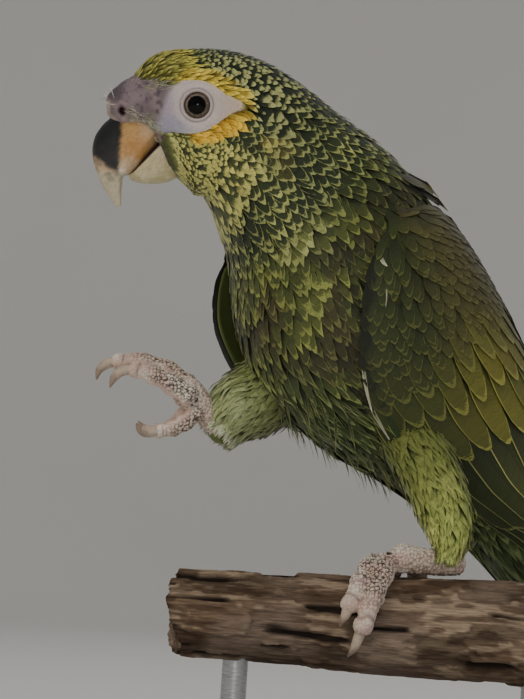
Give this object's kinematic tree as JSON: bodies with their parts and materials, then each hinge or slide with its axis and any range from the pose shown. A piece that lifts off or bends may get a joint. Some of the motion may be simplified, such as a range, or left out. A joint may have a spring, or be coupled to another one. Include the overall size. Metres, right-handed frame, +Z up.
{
  "type": "amazon parrot (yellow-faced amazon, young bird)",
  "caption": "Life-size still amazon parrot on a short branch: stands on its left foot, right foot raised, head turned to the side, on a flat stand.",
  "frame": {"origin": "centre of the underside of the stand's flat base, on the surface it stands on", "axes": "+Z up; the branch runs along X; the bird looks towards -X, its left side towards -Y and its tail towards +X and +Y"},
  "size_m": [0.2023, 0.1479, 0.2618],
  "materials": {
    "feather_head": "small overlapping feathers, yellow round the eye, green with pale tips on crown and cheek",
    "feather_green": "soft contour feathers, dark green with yellow-green bars and tips",
    "feather_flight": "long flat vanes, dark green with thin pale yellow-green edges",
    "feather_thigh": "loose downy lime-green feathers",
    "cere_skin": "bare fleshy skin, dull pinkish mauve, finely wrinkled",
    "bill_dark": "worn horn, slate on the ridge, orange-horn on the side, pale tip",
    "bill_pale": "worn horn, yellowish bone",
    "eye": "wet, dark pupil with a narrow grey-brown iris",
    "foot_skin": "pale pinkish-grey granular scales",
    "claw_horn": "grey-brown horn",
    "branch_wood": "weathered bare branch with long cracks",
    "stand_base": "board painted matt charcoal",
    "stand_rod": "plain steel rod"
  },
  "bodies": {
    "root": {"head": "feather_head", "neck": "feather_green", "trunk": "feather_green", "rump": "feather_green", "wing_left_coverts": "feather_flight", "wing_left_secondaries": "feather_flight", "wing_left_primaries": "feather_flight", "wing_right_coverts": "feather_flight", "wing_right_secondaries": "feather_flight", "wing_right_primaries": "feather_flight", "tail": "feather_flight", "thigh_left": "feather_thigh", "tarsus_left": "foot_skin", "eye_left": "eye", "toe_left_1": "foot_skin", "claw_left_1": "claw_horn", "toe_left_2": "foot_skin", "claw_left_2": "claw_horn", "toe_left_3": "foot_skin", "claw_left_3": "claw_horn", "toe_left_4": "foot_skin", "claw_left_4": "claw_horn", "thigh_right": "feather_thigh", "tarsus_right": "foot_skin", "eye_right": "eye", "toe_right_1": "foot_skin", "claw_right_1": "claw_horn", "toe_right_2": "foot_skin", "claw_right_2": "claw_horn", "toe_right_3": "foot_skin", "claw_right_3": "claw_horn", "toe_right_4": "foot_skin", "claw_right_4": "claw_horn", "cere": "cere_skin", "bill_upper": "bill_dark", "bill_lower": "bill_pale", "perch": "branch_wood", "stand_base": "stand_base", "stand_rod_left": "stand_rod", "stand_rod_right": "stand_rod"}
  },
  "joints": []
}
